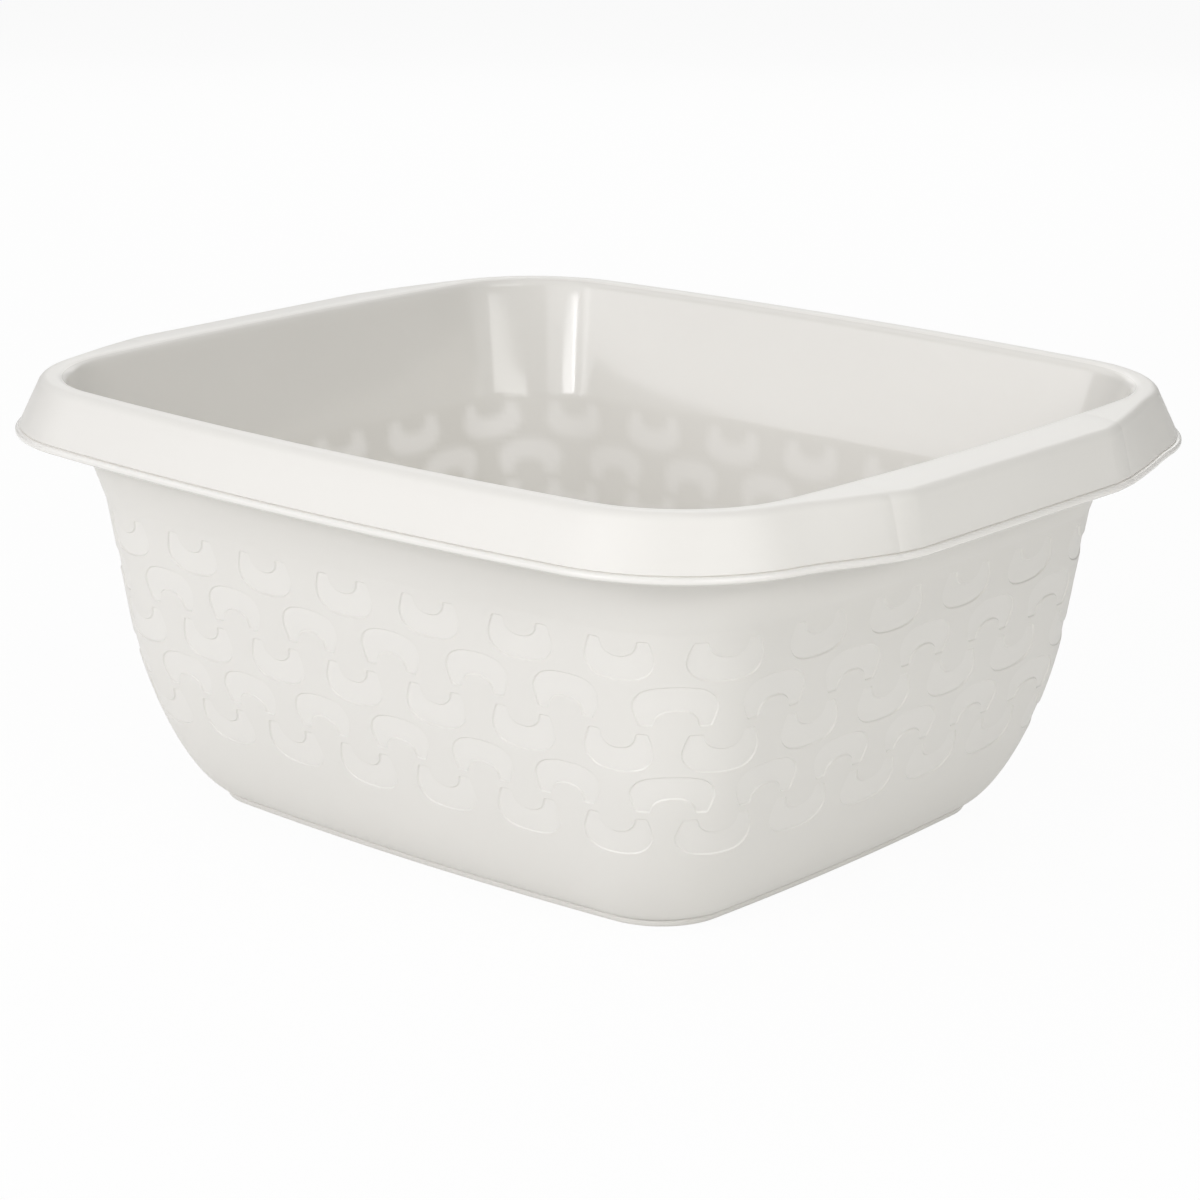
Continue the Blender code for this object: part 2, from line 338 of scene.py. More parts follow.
def pad_shape(row, pad):
    """A pad's outline in metres from its place, its normals, and the pitch on either side."""
    back, tips = RELIEF_ROWS[row]
    opens_up = tips > back
    place = pad if opens_up else pad + 0.5
    folded = place % (PADS_AROUND / 2)
    turned = folded > PADS_AROUND / 4
    folded = PADS_AROUND / 2 - folded if turned else folded
    usual = LONG_PAD_HALVES if folded <= LONG_PADS // 2 else SHORT_PAD_HALVES
    left, right, shift = CORNER_PAD_HALVES.get(folded, usual)
    if turned:
        left, right, shift = right, left, -shift
    half = np.array(PAD_HALF)
    half[:, 1] *= abs(tips - back) / PAD_HEIGHT_MM
    right_side = half * [right / PAD_WIDTH_MM / MM_PER_METRE, 1]
    left_side = half[::-1][1:-1] * [-left / PAD_WIDTH_MM / MM_PER_METRE, 1]
    points = np.vstack([right_side, left_side]) + [shift / MM_PER_METRE, 0]
    ahead = np.roll(points, -1, axis=0) - np.roll(points, 1, axis=0)
    normals = np.column_stack([ahead[:, 1], -ahead[:, 0]])
    normals /= np.linalg.norm(normals, axis=1)[:, None]
    if not opens_up:
        points = points[::-1] * [1, -1]
        normals = normals[::-1] * [1, -1]
    points = points + [0, back]
    middle = (back + tips) / 2
    pitches = pad_pitch(place - 0.5, place, middle), pad_pitch(place, place + 0.5, middle)
    return points, normals, place, pitches


def to_cell(points, pitches):
    """Turns metres from a pad's place into the cell's even steps."""
    stretch = np.where(points[:, 0] < 0, PAD_PITCH / pitches[0], PAD_PITCH / pitches[1])
    return np.column_stack([points[:, 0] * stretch, points[:, 1]])


def inside(points, polygon):
    """Which points lie inside a polygon."""
    x, y = points[:, 0][:, None], points[:, 1][:, None]
    x0, y0 = polygon[:, 0], polygon[:, 1]
    x1, y1 = np.roll(x0, -1), np.roll(y0, -1)
    # the tiny number keeps level edges, which cross nothing, from dividing by zero
    crosses = ((y0 > y) != (y1 > y)) & (x < (x1 - x0) * (y - y0) / (y1 - y0 + 1e-30) + x0)
    return crosses.sum(1) % 2 == 1


def distance(points, polygon):
    """Distance of each point from a polygon's edges."""
    start = polygon
    run = np.roll(polygon, -1, axis=0) - start
    offset = points[:, None, :] - start[None]
    share = np.clip((offset * run).sum(-1) / (run ** 2).sum(-1), 0, 1)
    return np.linalg.norm(offset - share[..., None] * run, axis=-1).min(1)


def triangulate(points, loops):
    """Triangles of a Delaunay triangulation that keeps the loops' edges."""
    edges = []
    start = 0
    for size in loops:
        edges += [(start + i, start + (i + 1) % size) for i in range(size)]
        start += size
    result = delaunay_2d_cdt([Vector(p) for p in points], edges, [], 0, MERGE_WITHIN)
    assert len(result[0]) == len(points)
    return np.array(result[2])


def cell_border(bottom, top):
    """Points round a cell, from its lower left corner along the bottom, up and back."""
    half = PAD_PITCH / 2
    level = np.linspace(-half, half, PAD_STEPS + 1)
    sides = np.linspace(bottom, top, CELL_SIDE_STEPS + 1)[1:-1]
    return np.vstack([
        np.column_stack([level, np.full(len(level), bottom)]),
        np.column_stack([np.full(len(sides), half), sides]),
        np.column_stack([level[::-1], np.full(len(level), top)]),
        np.column_stack([np.full(len(sides), -half), sides[::-1]]),
    ])


def cell_grid(bottom, top, outline):
    """Even points inside a cell and clear of the pad's outline: those outside the pad, those in it."""
    half = PAD_PITCH / 2
    along = np.linspace(-half, half, CELL_GRID[0])[1:-1]
    upward = np.linspace(bottom, top, CELL_GRID[1])[1:-1]
    grid_x, grid_z = np.meshgrid(along, upward)
    grid = np.column_stack([grid_x.ravel(), grid_z.ravel()])
    grid = grid[distance(grid, outline) >= GRID_GAP]
    within = inside(grid, outline)
    return grid[~within], grid[within]


def relief_cell(row, pad):
    """One pad's cell: places, heights, depth, slope and its direction, border size, faces.

    The slope's direction is outward from the pad.
    """
    top, bottom = RELIEF_LEVELS[row], RELIEF_LEVELS[row + 1]
    outline, normals, place, pitches = pad_shape(row, pad)
    offsets = np.array(BEVEL_PLACES) * PAD_BEVEL
    loops = [to_cell(outline + normals * offset, pitches) for offset in offsets]
    outline = to_cell(outline, pitches)
    share = 0.5 - offsets / PAD_BEVEL
    depths = PAD_DEPTH * share ** 2 * (3 - 2 * share)
    slopes = PAD_DEPTH / PAD_BEVEL * 6 * share * (1 - share)
    count = len(outline)
    border = cell_border(bottom, top)
    ground_grid, floor_grid = cell_grid(bottom, top, outline)

    points = np.vstack([border, ground_grid] + loops + [floor_grid])
    first_loop = len(border) + len(ground_grid)
    depth = np.zeros(len(points))
    slope = np.zeros(len(points))
    direction = np.zeros((len(points), 2))
    for i in range(len(loops)):
        rows = slice(first_loop + i * count, first_loop + (i + 1) * count)
        depth[rows] = depths[i]
        slope[rows] = slopes[i]
        direction[rows] = normals
    floor_start = first_loop + len(loops) * count
    depth[floor_start:] = PAD_DEPTH

    faces = []
    ground = np.vstack([border, loops[0], ground_grid])
    index = np.concatenate([
        np.arange(len(border)),
        first_loop + np.arange(count),
        len(border) + np.arange(len(ground_grid)),
    ])
    triangles = triangulate(ground, [len(border), count])
    middles = ground[triangles].mean(1)
    faces += index[triangles[~inside(middles, loops[0])]].tolist()
    for i in range(len(loops) - 1):
        a = first_loop + i * count
        b = a + count
        for j in range(count):
            k = (j + 1) % count
            faces.append([b + j, a + j, a + k, b + k])
    last = first_loop + (len(loops) - 1) * count
    floor = np.vstack([loops[-1], floor_grid])
    index = np.concatenate([last + np.arange(count), floor_start + np.arange(len(floor_grid))])
    triangles = triangulate(floor, [count])
    middles = floor[triangles].mean(1)
    faces += index[triangles[inside(middles, loops[-1])]].tolist()

    places = np.mod(points[:, 0] / PAD_PITCH + place, PADS_AROUND)
    return places, points[:, 1], depth, slope, direction, len(border), faces


class Shell:
    """Collects one mesh: points, known normals, painted light and gloss, sharp rings and faces."""

    def __init__(self):
        self.points = []
        self.normals = []
        # painted light per point: where light shows through the thinner pads, and the lip's painted
        # highlight
        self.pads = []
        self.polish = []
        self.creases = []
        self.faces = []
        self.polished = 1.0

    def add(self, points, normals=None, pads=None):
        """Adds points, as glossy as polished says, and returns the index of the first one."""
        start = len(self.points)
        self.points += [tuple(p) for p in points]
        self.normals += [None] * len(points) if normals is None else [tuple(n) for n in normals]
        self.pads += [0.0] * len(points) if pads is None else [float(p) for p in pads]
        self.polish += [self.polished] * len(points)
        return start

    def ring(self, xy, z, pads=None):
        """Adds a ring of points at height z, or at a height each, and returns their indexes."""
        points = np.column_stack([xy, np.full(len(xy), z)])
        return np.arange(len(xy)) + self.add(points, pads=pads)

    def bridge(self, rings):
        """Faces between each ring and the next one."""
        for first, second in zip(rings, rings[1:]):
            for i in range(len(first)):
                j = (i + 1) % len(first)
                self.faces.append([first[i], second[i], second[j], first[j]])


def arc(centre, radius, start, end, steps):
    """Points on an arc, with angles from straight up and positive outwards."""
    angles = np.linspace(start, end, steps + 1)
    return [(centre[0] + radius * sin(a), centre[1] + radius * cos(a)) for a in angles]


def skirt_section(flat, overhang, skirt_drop, radius, slope):
    """Top and shoulder, face, groove, lip and underside of the skirt, each as out and height."""
    crest_end = (CREST_RADIUS * sin(slope), CREST_Z + CREST_RADIUS * cos(slope))
    top_end = (flat, crest_end[1] - (flat - crest_end[0]) * tan(slope))
    centre = (top_end[0] - radius * sin(slope), top_end[1] - radius * cos(slope))
    bottom = HEIGHT - skirt_drop
    foot = (overhang - LIP_RADIUS, bottom + 2 * LIP_RADIUS)
    across = foot[0] - centre[0]
    drop = foot[1] - centre[1]
    lean = atan2(drop, across) + acos(radius / hypot(across, drop))
    top = [(max(crest_end[0], CREST_RUN), crest_end[1])]
    shoulder = arc(centre, radius, slope, pi / 2 - lean, ARC_STEPS)
    start = shoulder[-1]
    face = [(start[0] + (foot[0] - start[0]) * s, start[1] + (foot[1] - start[1]) * s) for s in FACE_SHARES]
    groove = [
        (foot[0] - LIP_GROOVE * sin(lean), foot[1] + LIP_GROOVE * cos(lean) * GROOVE_TOP_SHARE),
        (foot[0] - LIP_GROOVE, foot[1] + LIP_GROOVE * GROOVE_LOW_SHARE),
    ]
    lip = arc((foot[0], bottom + LIP_RADIUS), LIP_RADIUS, 0, pi, LIP_STEPS)
    inner_x = foot[0] - WALL / cos(lean) + 2 * LIP_RADIUS * tan(lean)
    inner_edge = [(inner_x + LIP_BEVEL, bottom), (inner_x, bottom + LIP_BEVEL)]
    under = arc(centre, radius - WALL, pi / 2 - lean, slope, ARC_STEPS - 2)
    return top + shoulder, face, groove, lip + inner_edge, under


def swing_share(y):
    """How far the rim has swung out at y, from 0 at the corner to 1 at the handle's end."""
    run = np.clip((HANDLE_HALF + HANDLE_RAMP + FLARE_LENGTH - np.abs(y)) / FLARE_LENGTH, 0, 1)
    eased = np.where(run < 2 * FLARE_EASE, run ** 2 / (4 * FLARE_EASE), run - FLARE_EASE)
    return eased / (1 - FLARE_EASE)


def soft_pads(t, z, shapes):
    """How far each place at height z lies under a pad, from 0 to 1, with soft edges."""
    cover = np.zeros(len(t))
    for outline, place, pitches in shapes:
        if not outline[:, 1].min() - PAD_BLUR < z < outline[:, 1].max() + PAD_BLUR:
            continue
        away = np.mod(t - place + PADS_AROUND / 2, PADS_AROUND) - PADS_AROUND / 2
        near = np.abs(away) < PAD_REACH
        local_x = away[near] * np.where(away[near] < 0, *pitches)
        local = np.column_stack([local_x, np.full(near.sum(), z)])
        signed = distance(local, outline) * np.where(inside(local, outline), 1, -1)
        cover[near] = np.maximum(cover[near], np.clip(0.5 + signed / (2 * PAD_BLUR), 0, 1))
    return cover


def rim_stations(t):
    """Places of the rim's points, and 1 for each point at the end of a handle's ramp.

    The nearest points are snapped to the ends of the handles and of their ramps.
    """
    params, sign_x, sign_y = ring_params(t, CREASE_OUT, wall_corner(CREASE_OUT))
    snapped = params.copy()
    end_angle = corner_join(0.0, CREST_CORNER)[4]
    ends = np.array([HANDLE_HALF, HANDLE_HALF + HANDLE_RAMP])
    edge = np.array([STEP_EDGE, 0, -STEP_EDGE])
    end_places = 3 - np.arcsin(ends / SIDE_BOW) / end_angle
    edge_places = 3 - np.arcsin((ends[1] + edge) / SIDE_BOW) / end_angle
    at_end = np.zeros(len(t))
    for side_x in (-1, 1):
        for side_y in (-1, 1):
            here = (sign_x == side_x) & (sign_y == side_y)
            handle_end = np.where(here, np.abs(params - end_places[0]), np.inf).argmin()
            snapped[handle_end] = end_places[0]
            middle = np.where(here, np.abs(params - end_places[1]), np.inf).argmin()
            trio = sorted((middle - 1, middle, middle + 1), key=lambda i: params[i])
            snapped[trio] = edge_places
            at_end[middle] = 1
    return (snapped, sign_x, sign_y), at_end


def rim_ring(shell, stations, plain, handle=None, flare=0.0, groove=END_GROOVE, painted_light=0.0):
    """A ring of the rim, swung out at the ends from its plain place to the handle's.

    A place is given as out and height. The flare makes up its share of the swing, and the
    ramp makes up the rest.
    """
    places, at_end = stations
    out, z = plain
    xy = ring_xy(places, out, CREST_CORNER + out)
    height = z
    if handle is not None:
        x, y = np.abs(xy[:, 0]), np.abs(xy[:, 1])
        share = swing_share(y) * flare
        ramp_end = HANDLE_HALF + HANDLE_RAMP - STEP_EDGE / 2
        on_ramp = np.clip((ramp_end - y) / (HANDLE_RAMP - STEP_EDGE), 0, 1)
        share = share + (1 - share) * on_ramp
        x = x + (CREST_HALF_X + handle[0] - x) * share
        xy[:, 0] = (x - groove * at_end) * places[1]
        height = z + (handle[1] - z) * share - groove * at_end
    # each ring carries a share of painted light; the lip's rings use it for a painted highlight
    return shell.ring(xy, height, np.full(len(xy), painted_light))


def inner_face():
    """The inner face from the crease down to the foot: out, height and corner radius."""
    outer = PROFILE[1:]
    run = np.gradient(outer, axis=0)
    run /= np.linalg.norm(run, axis=1)[:, None]
    inner = outer + WALL * np.column_stack([run[:, 1], -run[:, 0]])
    lean = (BAND_LEAN + WALL_LEAN) / 2
    across = WALL / cos((BAND_LEAN - WALL_LEAN) / 2)
    inner[0] = outer[0] + across * np.array([-cos(lean), sin(lean)])
    return np.column_stack([inner, wall_corner(outer[:, 0]) - WALL])


def inner_floor_rings(shell, t, wall_end):
    """The flat inner floor and its round blend into the wall's lower end."""
    floor = BASE_RECESS + WALL
    knee_out = wall_end[0] - (wall_end[1] - floor) * tan(FOOT_LEAN)
    blend_out = knee_out - FLOOR_BLEND
    radius = FOOT_CORNER + blend_out - FOOT_OUT
    rings = []
    for extra in FLOOR_RINGS:
        xy = level_xy(t, blend_out - extra, radius - min(extra, FLOOR_CORNER_LOSS))
        rings.append(shell.ring(xy, floor))
    start = np.array([blend_out, floor, radius])
    knee = np.array([knee_out, floor, (radius + wall_end[2]) / 2])
    for share in FLOOR_BLEND_SHARES:
        section = (1 - share) ** 2 * start + 2 * share * (1 - share) * knee + share ** 2 * wall_end
        out, z, ring_radius = section
        rings.append(shell.ring(level_xy(t, out, ring_radius, WALL), z))
    return rings


def inner_wall_rings(shell, t, inner):
    """The inner wall from the floor to below the crease, with painted light where light shows through the
    thinner pads.
    """
    shapes = []
    for row in range(len(RELIEF_ROWS)):
        for pad in range(PADS_AROUND):
            outline, _, place, pitches = pad_shape(row, pad)
            shapes.append((outline, place, pitches))
    crease, bend = inner[:2]
    sections = list(inner[:1:-INNER_CURVE_STRIDE]) + [bend]
    for share in np.linspace(0, 1, INNER_WALL_STEPS + 1)[1:-1]:
        sections.append(bend + (crease - bend) * share)
    # the painted light through the pads is weaker on the long walls than on the end walls
    on_end = np.interp(quadrants(t)[0], (LONG_PADS / 2 - 0.5, LONG_PADS / 2 + 0.5), (0, 1))
    weight = LONG_PAINTED_LIGHT_SHARE + (1 - LONG_PAINTED_LIGHT_SHARE) * on_end
    rings = []
    for out, z, radius in sections:
        pads = weight * soft_pads(t, z, shapes)
        rings.append(shell.ring(level_xy(t, out, radius, WALL), z, pads))
    return rings


def inner_band_rings(shell, stations, crease):
    """The crease's soft edge inside, the glossy band above it and the crest."""
    places = stations[0]
    rings = []
    for lift, lean in ((-INNER_CREASE_EASE, WALL_LEAN), (INNER_CREASE_EASE, BAND_LEAN)):
        xy = ring_xy(places, crease[0] + lift * tan(lean), crease[2])
        rings.append(shell.ring(xy, crease[1] + lift))
    crest = arc((0, CREST_Z), CREST_RADIUS, CREST_START, 0, ARC_STEPS)
    band_top = np.array([crest[0][0], crest[0][1], CREST_CORNER + crest[0][0]])
    for share in INNER_BAND_SHARES:
        out, z, radius = crease + (band_top - crease) * share
        rings.append(shell.ring(ring_xy(places, out, radius), z))
    for i, plain in enumerate(crest):
        shell.polished = 1 - i / ARC_STEPS
        rings.append(rim_ring(shell, stations, plain))
    shell.polished = 0.0
    return rings


def skirt_rings(shell, stations):
    """Flat top, shoulder, skirt, groove, lip and the rim's underside back to the crest."""
    on_rim = skirt_section(RIM_FLAT, RIM_OVERHANG, SKIRT_DROP, SHOULDER_RADIUS, 0.0)
    on_handle = skirt_section(
        HANDLE_FLAT, HANDLE_OVERHANG, HANDLE_DROP, HANDLE_SHOULDER_RADIUS, HANDLE_SLOPE
    )
    top, face, groove, lip, under = [list(zip(*part)) for part in zip(on_rim, on_handle)]
    rings = []
    for plain, handle in top:
        rings.append(rim_ring(shell, stations, plain, handle, SHOULDER_FLARE_SHARE))
    for share, (plain, handle) in zip(FACE_SHARES, face):
        flare = SHOULDER_FLARE_SHARE + (LIP_FLARE_SHARE - SHOULDER_FLARE_SHARE) * share
        rings.append(rim_ring(shell, stations, plain, handle, flare))
    groove_start = len(rings)
    for plain, handle in groove:
        rings.append(rim_ring(shell, stations, plain, handle, LIP_FLARE_SHARE))
    shell.polished = LIP_POLISH
    for i, (plain, handle) in enumerate(lip):
        # the lip's outer rings carry a painted highlight
        painted_light = LIP_HIGHLIGHT_SHARE if i < LIP_HIGHLIGHT_RINGS else 0.0
        rings.append(rim_ring(shell, stations, plain, handle, LIP_FLARE_SHARE, painted_light=painted_light))
    shell.polished = 0.0
    shell.creases = rings[groove_start:groove_start + len(groove) + 1]
    for plain, handle in under:
        rings.append(rim_ring(shell, stations, plain, handle, SHOULDER_FLARE_SHARE, groove=0.0))
    for plain in arc((0, CREST_Z), CREST_RADIUS - WALL, 0, CREST_START, ARC_STEPS - 2):
        rings.append(rim_ring(shell, stations, plain))
    return rings


def outer_band_rings(shell, t, stations):
    """The outer face from below the crest to close above the crease."""
    corner = wall_corner(CREASE_OUT)
    rings = []
    for share in OUTER_BAND_SHARES:
        out = WALL_TOP_OUT + (CREASE_OUT - WALL_TOP_OUT) * share
        z = CREST_Z + (CREASE_HEIGHT - CREST_Z) * share
        radius = CREST_CORNER + out + (corner - CREST_CORNER - CREASE_OUT) * share
        rings.append(shell.ring(ring_xy(stations[0], out, radius), z))
    places = ring_params(t, CREASE_OUT, corner)
    for lift in OUTER_CREASE_LIFTS:
        xy = ring_xy(places, CREASE_OUT + lift * tan(BAND_LEAN), corner)
        rings.append(shell.ring(xy, CREASE_HEIGHT + lift))
    return rings


def border_keys(places, heights):
    """Keys by which neighbouring cells find the border points that they share."""
    around = PADS_AROUND * KEYS_PER_PAD
    return [
        (round(place * KEYS_PER_PAD) % around, round(height * KEYS_PER_METRE))
        for place, height in zip(places, heights)
    ]


def add_relief(shell, t):
    """The wall's relief, one cell to each pad; returns its top and bottom edge as rings."""
    known = {}
    for row in range(len(RELIEF_ROWS)):
        for pad in range(PADS_AROUND):
            places, heights, depth, slope, direction, border, faces = relief_cell(row, pad)
            point, along, up, normal = wall_frame(places, heights)
            point = point - normal * depth[:, None]
            outward = along * direction[:, :1] + up * direction[:, 1:]
            normal = normal - outward * slope[:, None]
            normal /= np.linalg.norm(normal, axis=1)[:, None]
            # painted light, fullest on the pads' floors, where light shows through the thinner wall
            painted_light = OUTER_PAINTED_LIGHT_SHARE * depth / PAD_DEPTH
            index = []
            for i, key in enumerate(border_keys(places, heights)):
                if i < border and key in known:
                    index.append(known[key])
                    continue
                index.append(shell.add([point[i]], [normal[i]], [painted_light[i]]))
                if i < border:
                    known[key] = index[-1]
            shell.faces += [[index[i] for i in face] for face in faces]
    edges = []
    for level in (RELIEF_LEVELS[0], RELIEF_LEVELS[-1]):
        edges.append(np.array([known[key] for key in border_keys(t, [level] * len(t))]))
    return edges


def foot_section():
    """Notch, foot ring and base from the wall's lower end inwards: out and height."""
    notch_bottom = FOOT_HEIGHT - FOOT_NOTCH_HEIGHT
    ground = FOOT_OUT - FOOT_EDGE
    hollow = ground - FOOT_WIDTH
    notch = [
        (FOOT_OUT + FOOT_TAPER - 0.5 * FOOT_NOTCH, FOOT_HEIGHT - 0.2 * FOOT_NOTCH_HEIGHT),
        (FOOT_OUT + FOOT_TAPER - FOOT_NOTCH, FOOT_HEIGHT - 0.5 * FOOT_NOTCH_HEIGHT),
    ]
    foot = [
        (FOOT_OUT + 0.6 * FOOT_TAPER, notch_bottom),
        (FOOT_OUT + 0.6 * FOOT_TAPER, notch_bottom - 0.5 * FOOT_NOTCH_HEIGHT),
        (FOOT_OUT, FOOT_EDGE),
        (FOOT_OUT - 0.3 * FOOT_EDGE, 0.3 * FOOT_EDGE),
        (ground, 0),
        (hollow, 0),
        (hollow - 0.4 * FOOT_EDGE, 0.2 * BASE_RECESS),
        (hollow - FOOT_EDGE, BASE_RECESS),
    ]
    return notch + foot + [(hollow - extra, BASE_RECESS) for extra in BASE_RINGS]


def lower_rings(shell, t):
    """The wall below the relief, the foot and the base."""
    top = RELIEF_LEVELS[-1] - LOWER_WALL_GAP
    wall = [(out, z, wall_corner(out)) for out, z in PROFILE[2:] if z < top]
    sections = wall[::2] if len(wall) % 2 else wall[::2] + wall[-1:]
    for out, z in foot_section():
        sections.append((out, z, FOOT_CORNER + max(out - FOOT_OUT, -BASE_CORNER_LOSS)))
    return [shell.ring(level_xy(t, out, radius), z) for out, z, radius in sections]


def build_bowl():
    """The bowl as one closed mesh: up inside, over the rim, down outside and under the base."""
    shell = Shell()
    t = np.arange(PADS_AROUND * PAD_STEPS) / PAD_STEPS
    stations = rim_stations(t)
    inner = inner_face()
    rings = inner_floor_rings(shell, t, inner[-1])
    rings += inner_wall_rings(shell, t, inner)
    rings += inner_band_rings(shell, stations, inner[0])
    rings += skirt_rings(shell, stations)
    rings += outer_band_rings(shell, t, stations)
    relief_top, relief_bottom = add_relief(shell, t)
    lower = lower_rings(shell, t)
    shell.bridge(rings + [relief_top])
    shell.bridge([relief_bottom] + lower)
    shell.faces.append(rings[0].tolist())
    shell.faces.append(lower[-1][::-1].tolist())
    return shell


def mesh_from(shell, name):
    """A mesh object from a shell, with its painted light, gloss, sharp rings and known normals."""
    mesh = bpy.data.meshes.new(name)
    mesh.from_pydata(shell.points, [], [[int(i) for i in face] for face in shell.faces])
    mesh.shade_smooth()
    # the pads attribute holds the painted light: light showing through the thinner pads, and the lip's
    # painted highlight
    for attribute, values in (("pads", shell.pads), ("polish", shell.polish)):
        data = mesh.attributes.new(attribute, "FLOAT", "POINT").data
        data.foreach_set("value", np.array(values, np.float32))

    crease = np.zeros(len(mesh.vertices), int)
    for i, ring in enumerate(shell.creases):
        crease[ring] = i + 1
    ends = np.zeros(len(mesh.edges) * 2, int)
    mesh.edges.foreach_get("vertices", ends)
    ends = crease[ends.reshape(-1, 2)]
    for i in np.flatnonzero((ends[:, 0] > 0) & (ends[:, 0] == ends[:, 1])):
        mesh.edges[i].use_edge_sharp = True
    mesh.update()

    corners = np.zeros(len(mesh.loops) * 3, np.float32)
    mesh.corner_normals.foreach_get("vector", corners)
    corners = corners.reshape(-1, 3)
    at = np.zeros(len(mesh.loops), int)
    mesh.loops.foreach_get("vertex_index", at)
    known = np.array([n is not None for n in shell.normals])
    exact = np.array([(0, 0, 0) if n is None else n for n in shell.normals])
    corners[known[at]] = exact[at][known[at]]
    mesh.normals_split_custom_set(corners)
    piece = bpy.data.objects.new(name, mesh)
    bpy.context.scene.collection.objects.link(piece)
    return piece


def plastic():
    """Off-white moulded plastic: satin gloss, a faint mottle, fine grain, and painted light through the
    thinner pads and on the lip.
    """
    material = bpy.data.materials.new("bowl_plastic_satin")
    material.use_nodes = True
    nodes = material.node_tree.nodes
    links = material.node_tree.links
    shader = nodes["Principled BSDF"]
    shader.inputs["IOR"].default_value = 1.49
    coords = nodes.new("ShaderNodeTexCoord")

    def noise(scale, detail):
        """Noise in the bowl's own coordinates."""
        node = nodes.new("ShaderNodeTexNoise")
        node.inputs["Scale"].default_value = scale
        node.inputs["Detail"].default_value = detail
        links.new(coords.outputs["Object"], node.inputs["Vector"])
        return node.outputs["Fac"]

    def bump(height, strength, depth):
        """Fine unevenness of the surface."""
        node = nodes.new("ShaderNodeBump")
        node.inputs["Strength"].default_value = strength
        node.inputs["Distance"].default_value = depth
        links.new(height, node.inputs["Height"])
        return node

    def share(name):
        """A share that the mesh holds for each point."""
        node = nodes.new("ShaderNodeAttribute")
        node.attribute_name = name
        return node.outputs["Fac"]

    mottle = noise(14, 3)
    tone = nodes.new("ShaderNodeMix")
    tone.data_type = "RGBA"
    tone.inputs["A"].default_value = GROUND_TONES[0]
    tone.inputs["B"].default_value = GROUND_TONES[1]
    links.new(mottle, tone.inputs["Factor"])
    # painted light: lighter where light shows through the thinner pads, and a painted highlight on the lip
    lighter = nodes.new("ShaderNodeMix")
    lighter.data_type = "RGBA"
    lighter.inputs["B"].default_value = PAINTED_LIGHT_TONE
    links.new(share("pads"), lighter.inputs["Factor"])
    links.new(tone.outputs["Result"], lighter.inputs["A"])
    links.new(lighter.outputs["Result"], shader.inputs["Base Color"])

    grain = bump(noise(900, 2), 0.12, 0.00008)
    ripple = bump(noise(22, 1), 0.25, 0.0006)
    links.new(grain.outputs["Normal"], ripple.inputs["Normal"])
    links.new(ripple.outputs["Normal"], shader.inputs["Normal"])

    satin = nodes.new("ShaderNodeMapRange")
    satin.inputs["To Min"].default_value = SATIN_ROUGHNESS[0]
    satin.inputs["To Max"].default_value = SATIN_ROUGHNESS[1]
    links.new(mottle, satin.inputs["Value"])
    rough = nodes.new("ShaderNodeMix")
    rough.inputs["B"].default_value = POLISHED_ROUGHNESS
    links.new(share("polish"), rough.inputs["Factor"])
    links.new(satin.outputs["Result"], rough.inputs["A"])
    links.new(rough.outputs["Result"], shader.inputs["Roughness"])
    return material


def surround():
    """A surround that is white to the camera and gives a faint, even light."""
    world = bpy.data.worlds.new("studio_world")
    bpy.context.scene.world = world
    world.use_nodes = True
    nodes = world.node_tree.nodes
    links = world.node_tree.links
    path = nodes.new("ShaderNodeLightPath")
    shade = nodes.new("ShaderNodeMix")
    shade.data_type = "RGBA"
    shade.inputs["A"].default_value = (SURROUND_LIGHT, SURROUND_LIGHT, SURROUND_LIGHT, 1)
    shade.inputs["B"].default_value = (1, 1, 1, 1)
    links.new(path.outputs["Is Camera Ray"], shade.inputs["Factor"])
    links.new(shade.outputs["Result"], nodes["Background"].inputs["Color"])


def paper():
    """The floor's pale paper, mostly plain white to the camera but with the bowl's shadow."""
    material = bpy.data.materials.new("studio_paper")
    material.use_nodes = True
    nodes = material.node_tree.nodes
    links = material.node_tree.links
    shader = nodes["Principled BSDF"]
    shader.inputs["Base Color"].default_value = (0.86, 0.86, 0.85, 1)
    shader.inputs["Roughness"].default_value = 0.9
    glow = nodes.new("ShaderNodeEmission")
    glow.inputs["Strength"].default_value = 1.0
    path = nodes.new("ShaderNodeLightPath")
    part = nodes.new("ShaderNodeMath")
    part.operation = "MULTIPLY_ADD"
    part.inputs[1].default_value = FLOOR_GLOW_SEEN
    part.inputs[2].default_value = FLOOR_GLOW
    links.new(path.outputs["Is Camera Ray"], part.inputs[0])
    mix = nodes.new("ShaderNodeMixShader")
    links.new(part.outputs["Value"], mix.inputs["Fac"])
    links.new(shader.outputs["BSDF"], mix.inputs[1])
    links.new(glow.outputs["Emission"], mix.inputs[2])
    links.new(mix.outputs["Shader"], nodes["Material Output"].inputs["Surface"])
    return material


def studio_floor():
    """The pale floor, a hair below the bowl's foot."""
    mesh = bpy.data.meshes.new("studio_floor")
    corners = [(x * FLOOR_HALF, y * FLOOR_HALF, 0) for x, y in ((-1, -1), (1, -1), (1, 1), (-1, 1))]
    mesh.from_pydata(corners, [], [(0, 1, 2, 3)])
    mesh.materials.append(paper())
    floor = bpy.data.objects.new("studio_floor", mesh)
    floor.location.z = -FLOOR_GAP
    bpy.context.scene.collection.objects.link(floor)


def lamp(name, azimuth, elevation, away, width, height, power, colour=WHITE):
    """An area light aimed at the bowl; azimuth 0 is in front of the long side."""
    turn, rise = radians(azimuth), radians(elevation)
    place = away * Vector((sin(turn) * cos(rise), -cos(turn) * cos(rise), sin(rise)))
    data = bpy.data.lights.new(name, "AREA")
    data.shape = "RECTANGLE"
    data.size = width
    data.size_y = height
    data.energy = power
    data.color = colour
    item = bpy.data.objects.new(name, data)
    item.location = place + LAMP_AIM
    item.rotation_euler = (-place).to_track_quat("-Z", "Y").to_euler()
    bpy.context.scene.collection.objects.link(item)


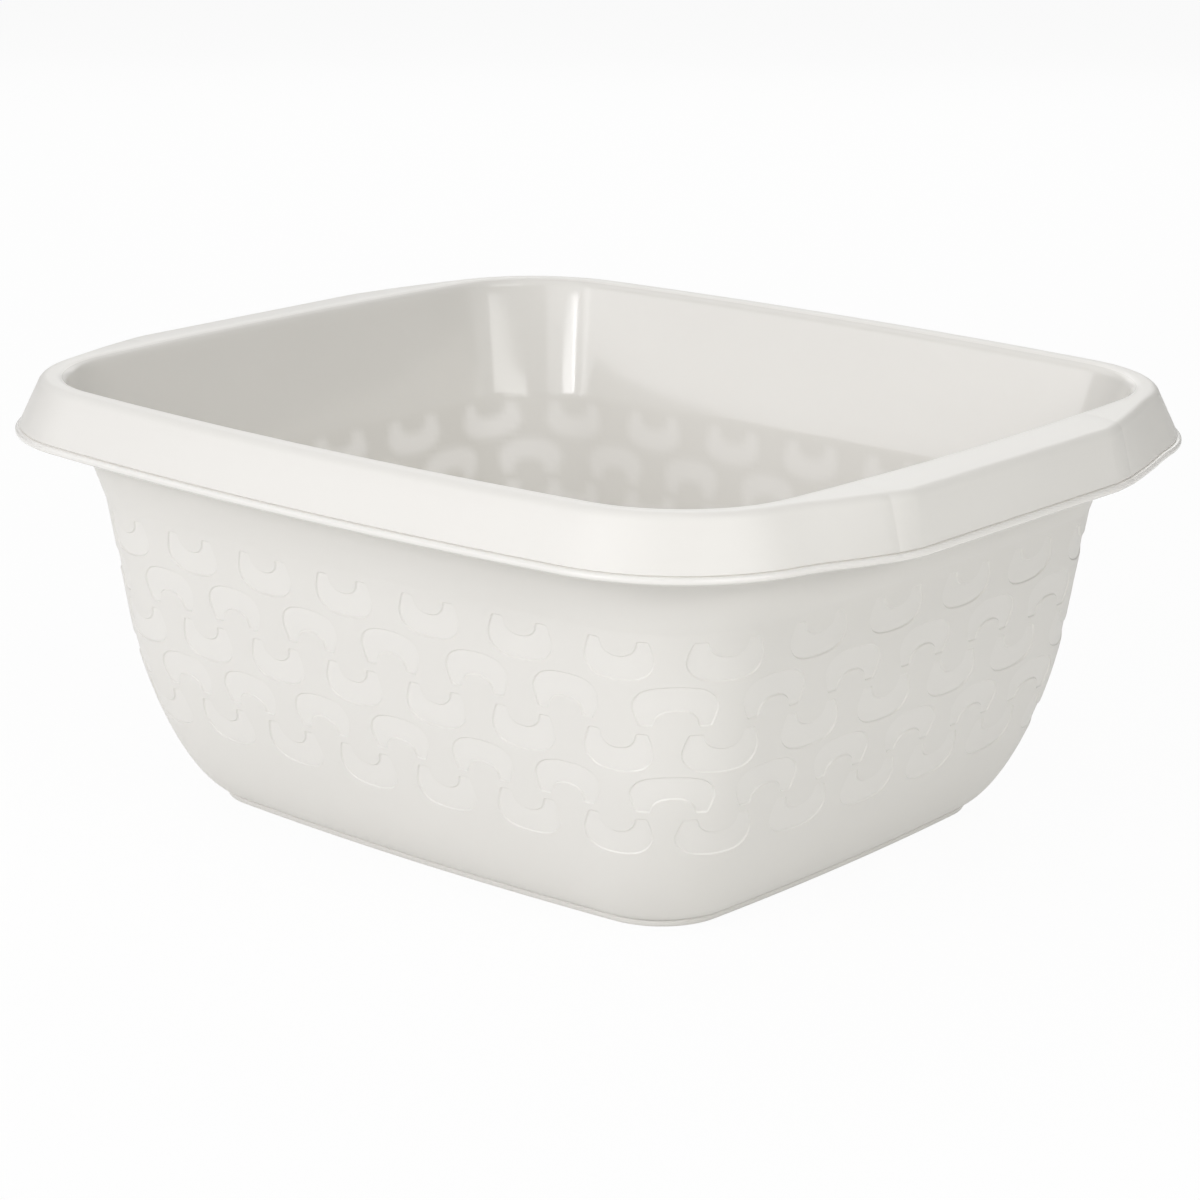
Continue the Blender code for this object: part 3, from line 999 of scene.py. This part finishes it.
def studio():
    """A white surround, a pale floor and soft lights around the bowl."""
    surround()
    studio_floor()
    lamp("front", 0, 27, 1.9, 1.6, 1.3, 9.6, COOL)
    lamp("front_high", 0, 60, 1.9, 1.6, 1.3, 1.8, COOL)
    lamp("front_strip", -2, 22, 1.7, 0.40, 0.30, 2.3, COOL)
    lamp("front_edge", -9, 22, 1.7, 0.07, 0.30, 0.65, COOL)
    lamp("front_low", -5, 3, 1.7, 1.0, 0.25, 1.0, COOL)
    lamp("front_left", -40, 20, 1.7, 1.2, 0.6, 4.9, COOL)
    lamp("left", -85, 40, 1.7, 0.9, 0.9, 2.4)
    lamp("right_near", 68, 16, 0.8, 0.5, 0.2, 0.72)
    lamp("right", 75, 24, 1.7, 1.24, 0.28, 4.0)
    lamp("right_high", 78, 50, 1.7, 0.9, 0.7, 4.6)
    lamp("back_right", 108, 18, 1.7, 0.6, 0.6, 0.5)
    lamp("back", 215, 35, 1.9, 1.7, 1.5, 10.0)
    lamp("back_low", 220, 18, 1.9, 2.2, 1.1, 3.3)
    lamp("top", 0, 88, 1.6, 1.2, 1.2, 2.5)


def camera():
    """The photograph's viewpoint."""
    back = Vector((
        sin(CAMERA_AZIMUTH) * cos(CAMERA_ELEVATION),
        -cos(CAMERA_AZIMUTH) * cos(CAMERA_ELEVATION),
        sin(CAMERA_ELEVATION),
    ))
    right = Vector((cos(CAMERA_AZIMUTH), sin(CAMERA_AZIMUTH), 0))
    up = back.cross(right)
    turned_right = cos(CAMERA_ROLL) * right + sin(CAMERA_ROLL) * up
    turned_up = -sin(CAMERA_ROLL) * right + cos(CAMERA_ROLL) * up
    data = bpy.data.cameras.new("photo_view")
    data.sensor_width = 36
    data.lens = CAMERA_LENS
    data.shift_x, data.shift_y = CAMERA_SHIFT
    item = bpy.data.objects.new("photo_view", data)
    place = Matrix((turned_right, turned_up, back)).transposed().to_4x4()
    place.translation = CAMERA_AIM + CAMERA_DISTANCE * back
    item.matrix_world = place
    bpy.context.scene.collection.objects.link(item)
    bpy.context.scene.camera = item


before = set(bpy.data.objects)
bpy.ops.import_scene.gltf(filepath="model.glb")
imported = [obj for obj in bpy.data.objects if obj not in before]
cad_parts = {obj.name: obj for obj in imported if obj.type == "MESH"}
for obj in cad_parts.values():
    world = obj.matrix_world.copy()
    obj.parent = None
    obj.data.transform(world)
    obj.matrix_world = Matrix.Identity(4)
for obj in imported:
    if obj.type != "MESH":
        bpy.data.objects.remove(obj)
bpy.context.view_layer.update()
bpy.context.scene.view_settings.view_transform = "Standard"
bowl = mesh_from(build_bowl(), "bowl_detail")
bowl.data.materials.append(plastic())
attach(bowl, "root")
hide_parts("bowl")
studio()
camera()
